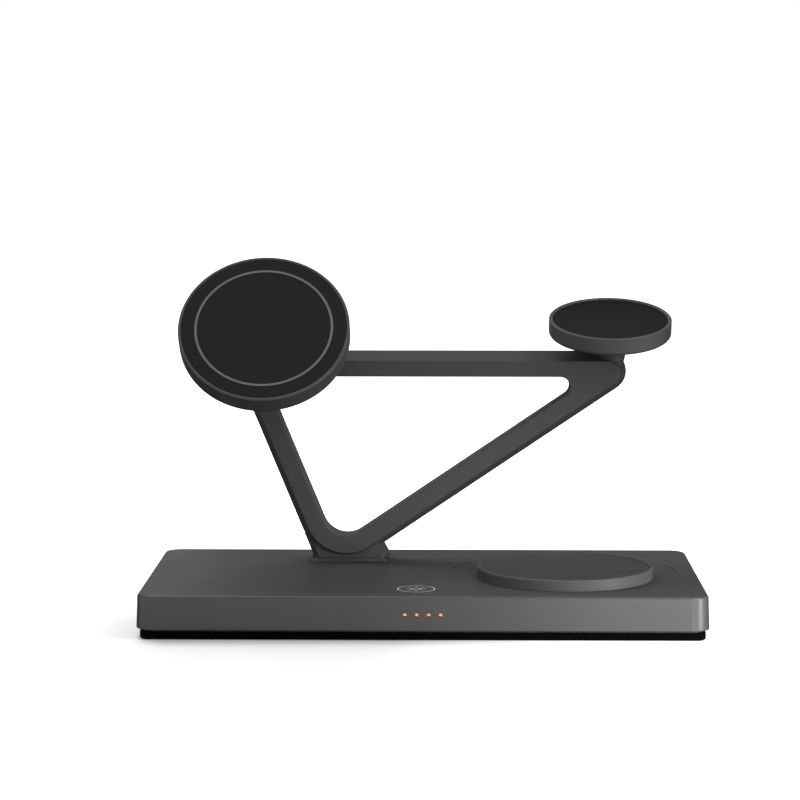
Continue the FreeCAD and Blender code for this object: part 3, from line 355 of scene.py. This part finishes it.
low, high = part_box("indicator_lenses")
amber = lit_acrylic(low.z, high.z)
dress(amber, "indicator_lenses")
lens_radius = (high.z - low.z) / 2
dome_rise = 0.3 * MM
lamp_count = 4
lamp_pitch = (high.x - low.x - 2 * lens_radius) / (lamp_count - 1)
for i in range(lamp_count):
    bm = bmesh.new()
    bmesh.ops.create_uvsphere(bm, u_segments=24, v_segments=12, radius=lens_radius)
    bm.transform(Matrix.Diagonal((1, dome_rise / lens_radius, 1, 1)))
    x = low.x + lens_radius + i * lamp_pitch
    bm.transform(Matrix.Translation((x, low.y, low.z + lens_radius)))
    add_piece("lamp_dome", bm, amber, "stand")

# Base shell: the broad top and walls of the base, one hollow moulding in ABS that sits over the cover.
# It is sprayed with a satin gunmetal paint, whose tiny flakes give it an even, slightly metallic grey.
paint = grained("abs_gunmetal_satin_paint", "#484849", "#505051", 0.35, 0.012, 0.36, metallic=0.5,
                specular=0.0, low_glare="#787878")
dress(paint, "base_shell")

# Touch mark: the sign of the touch key that lights the base, a thin ring with a plain sun in it.
# It is pad-printed in light grey ink on the painted top, over the sensor.


def printed_ink():
    """Printed ink: a pale, dull film with faint specks where it lies thin."""
    material, tree, shader, place = new_material("ink_light_grey_printed", specular=0.3)
    speck_mm = 0.25
    speck = add_node(tree, "ShaderNodeTexNoise", {"Scale": 1 / (speck_mm * MM), "Detail": 3.0},
                     {"Vector": place})
    tone = add_node(tree, "ShaderNodeMix", {"A": srgb("#8f9092"), "B": srgb("#a6a7a9")},
                    {"Factor": speck.outputs["Fac"]}, data_type="RGBA")
    shader.inputs["Roughness"].default_value = 0.55
    tree.links.new(tone.outputs["Result"], shader.inputs["Base Color"])
    return material


def flat_band(bm, inner, outer, height, count=96):
    """A flat ring of ink."""
    inside = [bm.verts.new(point) for point in circle(inner, height, count)]
    outside = [bm.verts.new(point) for point in circle(outer, height, count)]
    for i in range(count):
        j = (i + 1) % count
        bm.faces.new((inside[i], outside[i], outside[j], inside[j]))


shell_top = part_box("base_shell")[1].z
low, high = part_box("touch_sensor")
ink_height = 0.03 * MM
mark = bmesh.new()
ring_inner, ring_outer = 5.75 * MM, 6.1 * MM
sun_inner, sun_outer = 1.35 * MM, 1.75 * MM
flat_band(mark, ring_inner, ring_outer, 0)
flat_band(mark, sun_inner, sun_outer, 0)
ray_count = 8
ray_inner, ray_outer, ray_half = 2.5 * MM, 3.6 * MM, 0.2 * MM
for i in range(ray_count):
    turn = Matrix.Rotation(math.tau * i / ray_count, 3, "Z")
    corners = [(ray_inner, -ray_half), (ray_outer, -ray_half), (ray_outer, ray_half), (ray_inner, ray_half)]
    mark.faces.new([mark.verts.new(turn @ Vector((x, y, 0))) for x, y in corners])
mark.transform(Matrix.Translation(((low.x + high.x) / 2, (low.y + high.y) / 2, shell_top + ink_height)))
add_piece("touch_mark", mark, printed_ink(), "stand")

# Earbud pad: a shallow cup in the well of the top, held by its spigot, with a coil under a dark skin.
# The cup is turned from aluminium, blasted and anodised dark, and the skin is matt black polyurethane.


def anodised(name, dark, light, roughness):
    """Blasted and dyed aluminium: dark, dull and even, with next to no glare at a low angle."""
    return grained(name, dark, light, 0.3, 0.012, roughness, metallic=0.2, specular=0.0, edge_mm=0.25,
                   low_glare="#303030")


dress(anodised("aluminium_turned_anodised", "#444445", "#4c4c4d", 0.45), "earbud_pad_cup")
dress(grained("polyurethane_black_matt", "#1b1b1d", "#222224", 0.4, 0.02, 0.66, specular=0.06),
      "earbud_pad_skin")


def wound_wire(name, centre, lean):
    """Enamelled copper wire wound in a flat spiral: fine bright turns with dark lines between them."""
    material, tree, shader, place = new_material(name, metallic=1.0)
    local = add_node(tree, "ShaderNodeMapping", {"Location": centre, "Rotation": (lean, 0, 0)},
                     {"Vector": place}, vector_type="TEXTURE")
    turn_mm, turn_depth_mm = 0.7, 0.2
    turns = add_node(tree, "ShaderNodeTexWave", {"Scale": math.tau / (20 * turn_mm * MM)},
                     {"Vector": local.outputs["Vector"]}, wave_type="RINGS", rings_direction="Z")
    tone = add_node(tree, "ShaderNodeMix", {"A": srgb("#5a2c17"), "B": srgb("#c9794a")},
                    {"Factor": turns.outputs["Fac"]}, data_type="RGBA")
    relief = add_node(tree, "ShaderNodeBump", {"Strength": 0.8, "Distance": turn_depth_mm * MM},
                      {"Height": turns.outputs["Fac"]})
    shader.inputs["Roughness"].default_value = 0.3
    tree.links.new(tone.outputs["Result"], shader.inputs["Base Color"])
    tree.links.new(relief.outputs["Normal"], shader.inputs["Normal"])
    return material


def middle_of(node):
    """The middle of a CAD node's box."""
    low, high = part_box(node)
    return (low + high) / 2


dress(wound_wire("copper_wound_earbud", middle_of("earbud_coil"), 0.0), "earbud_coil")
ferrite = grained("ferrite_sintered", "#2a2a2d", "#37373a", 0.8, 0.03, 0.6)
dress(ferrite, "earbud_ferrite", "watch_ferrite", "phone_ferrite")

# Frame: the triangular ring with its foot, the post of the watch dish and the knuckle of the phone pad.
# It is one aluminium casting, blasted and anodised dark grey, on a bevelled collar, screwed on from inside.
dress(anodised("aluminium_cast_anodised", "#404041", "#484849", 0.45), "frame")
dress(anodised("aluminium_milled_anodised", "#3e3e3f", "#464647", 0.45), "foot_collar")
zinc_plated = plated("steel_zinc_plated", "#a9aaad", 0.3)
dress(zinc_plated, "frame_screws", "dish_screw")

# Watch dish: a shallow cup that leans forward on the frame's post, with a hollowed charging face in it.
# The cup is turned aluminium, anodised as the frame is but given a lighter tone, a painted light for the light
# its wall catches, and the face is satin black polycarbonate.
dress(anodised("aluminium_turned_anodised_dish_painted_light", "#4a4a4b", "#525253", 0.45), "watch_dish")
dress(grained("polycarbonate_black_satin", "#141415", "#1a1a1c", 0.25, 0.008, 0.45, specular=0.005),
      "watch_charge_face")
dish_lean = math.radians(16)
dress(wound_wire("copper_wound_watch", middle_of("watch_coil"), dish_lean), "watch_coil")
nickel = plated("magnet_nickel_plated", "#c2bfb8", 0.2)
dress(nickel, "watch_magnet", "phone_magnets")

# Phone pad: a round cup on a friction hinge, with a ring of magnets and a coil under its soft face.
# The cup is turned and anodised aluminium, and the face is dull black silicone with a grey printed ring.
dress(anodised("aluminium_turned_anodised_pad", "#474748", "#4f4f50", 0.45), "phone_pad_shell")
dress(grained("silicone_black_soft", "#19191b", "#202022", 0.35, 0.012, 0.7, specular=0.06), "phone_pad_face")
pad_lean = math.radians(52)
dress(wound_wire("copper_wound_phone", middle_of("phone_coil"), pad_lean), "phone_coil")
dress(drawn_stainless, "friction_washers")
face_middle = middle_of("phone_pad_face")
face_turn = Matrix.Translation(face_middle) @ Matrix.Rotation(pad_lean, 4, "X")
face_half = 0.6 * MM
ring_rise = 0.08 * MM
pad_ring = bmesh.new()
pad_ring_inner, pad_ring_outer = 22.2 * MM, 23.0 * MM
flat_band(pad_ring, pad_ring_inner, pad_ring_outer, face_half + ring_rise)
pad_ring.transform(face_turn)
grey_silicone = grained("silicone_grey_print", "#4c4d4f", "#555658", 0.3, 0.01, 0.6)
add_piece("phone_pad_ring", pad_ring, grey_silicone, "phone_pad")

# Hinge bolt: the pin that the phone pad tilts on, tight in the pad's ears and free in the frame's knuckle.
# It is a barrel and a screw in stainless steel, each with a hexagon socket in its flat head.
low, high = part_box("hinge_pin")
hinge_middle = (low + high) / 2
bolt_head = 3.2 * MM
bolt_head_height = 0.8 * MM
bolt_shank = 2.0 * MM
hexagon_reach, hexagon_depth = 1.35 * MM, 0.7 * MM
hexagon = [(x, y) for x, y, z in circle(hexagon_reach, 0, 6)]
half_length = (high.x - low.x) / 2
for side in (-1, 1):
    bm = headed(hexagon, hexagon_depth, bolt_head, bolt_head_height, bolt_shank,
                half_length - bolt_head_height)
    bm.transform(Matrix.Rotation(-side * math.pi / 2, 4, "Y"))
    bm.transform(Matrix.Translation(hinge_middle + Vector((side * half_length, 0, 0))))
    bolt = add_piece("hinge_bolt", bm, drawn_stainless, "phone_pad")
    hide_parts("hinge_pin")

# Studio: a white floor and surround, two soft lamps behind on the left, a weak one above the front edge, two
# small beams low on the right that brighten the front wall towards its right corner, and the camera.
# The floor and the surround are white to the eye and in reflections, and the floor keeps the shadow. Round
# shade_middle, at the front left of the base, the floor's glow fades out, a painted shade that deepens its
# shadow there.


def seen_directly(tree):
    """1 for rays from the camera, in reflections and through glass, and 0 for scattered light."""
    path = add_node(tree, "ShaderNodeLightPath")
    seen = path.outputs["Is Camera Ray"]
    for kind in ("Is Glossy Ray", "Is Transmission Ray"):
        seen = add_node(tree, "ShaderNodeMath", None, {0: seen, 1: path.outputs[kind]},
                        operation="MAXIMUM").outputs["Value"]
    return seen


floor_size = 6.0
floor_level = -0.05 * MM
floor_mesh = bpy.data.meshes.new("floor")
floor_corners = [(x * floor_size, y * floor_size, floor_level)
                 for x, y in ((-1, -1), (1, -1), (1, 1), (-1, 1))]
floor_mesh.from_pydata(floor_corners, [], [(0, 1, 2, 3)])
floor = bpy.data.objects.new("floor", floor_mesh)
bpy.context.collection.objects.link(floor)
paper, paper_tree, paper_shader, paper_place = new_material("paper_white", specular=0.0)
seen = seen_directly(paper_tree)
tone = add_node(paper_tree, "ShaderNodeMix", {"A": srgb("#707070"), "B": srgb("#d9d9d9")}, {"Factor": seen},
                data_type="RGBA")
# painted shade: near shade_middle the floor loses its glow and is greyer, even where no lamp's shadow falls
shade_middle = (-0.06, -0.05, 0)
away = add_node(paper_tree, "ShaderNodeVectorMath", {1: shade_middle}, {0: paper_place}, operation="DISTANCE")
near_glow, far_glow = 0.0, 1.0
near_edge, far_edge = 0.05, 0.16
glow = add_node(paper_tree, "ShaderNodeMapRange",
                {"From Min": near_edge, "From Max": far_edge, "To Min": near_glow, "To Max": far_glow},
                {"Value": away.outputs["Value"]})
lit = add_node(paper_tree, "ShaderNodeMath", None, {0: glow.outputs["Result"], 1: seen}, operation="MULTIPLY")
paper_shader.inputs["Roughness"].default_value = 1.0
paper_shader.inputs["Emission Color"].default_value = (1, 1, 1, 1)
paper_tree.links.new(tone.outputs["Result"], paper_shader.inputs["Base Color"])
paper_tree.links.new(lit.outputs["Value"], paper_shader.inputs["Emission Strength"])
floor_mesh.materials.append(paper)

world = bpy.data.worlds.new("studio")
bpy.context.scene.world = world
world.use_nodes = True
surround = world.node_tree.nodes["Background"]
surround.inputs["Color"].default_value = (1, 1, 1, 1)
fill_level = 0.85
strength = add_node(world.node_tree, "ShaderNodeMapRange", {"To Min": fill_level, "To Max": 1.0},
                    {"Value": seen_directly(world.node_tree)})
world.node_tree.links.new(strength.outputs["Result"], surround.inputs["Strength"])


def soft_lamp(name, place, target, size, watts, spread=180):
    """A square soft box that faces a point."""
    light = bpy.data.lights.new(name, "AREA")
    light.size = size
    light.energy = watts
    light.spread = math.radians(spread)
    lamp = bpy.data.objects.new(name, light)
    lamp.location = place
    lamp.rotation_euler = (Vector(target) - Vector(place)).to_track_quat("-Z", "Y").to_euler()
    bpy.context.collection.objects.link(lamp)


soft_lamp("key", (-0.2, 0.3, 0.6), (0, 0, 0.03), size=0.4, watts=3.2)
soft_lamp("left", (-0.25, 0.5, 0.2), (-0.06, 0, 0.014), size=0.3, watts=1.5)
soft_lamp("edge", (0.25, -0.12, 0.4), (0.08, -0.047, 0.012), size=0.08, watts=0.06, spread=60)
soft_lamp("front", (0.2, -0.45, 0.075), (0.07, -0.047, 0.0), size=0.04, watts=0.027, spread=24)
soft_lamp("right", (0.35, -0.2, 0.03), (0.08, -0.047, 0.008), size=0.08, watts=0.09, spread=40)

lens = bpy.data.cameras.new("camera")
lens.sensor_width = 36.0
lens.lens = 118.7
camera = bpy.data.objects.new("camera", lens)
azimuth = math.radians(1.02)
pitch = math.radians(5.87)
ahead = Vector((-math.sin(azimuth) * math.cos(pitch), math.cos(azimuth) * math.cos(pitch), -math.sin(pitch)))
camera.location = (0.00757, -0.8667, 0.1606)
camera.rotation_euler = ahead.to_track_quat("-Z", "Y").to_euler()
bpy.context.collection.objects.link(camera)
bpy.context.scene.camera = camera
bpy.context.scene.view_settings.view_transform = "Standard"
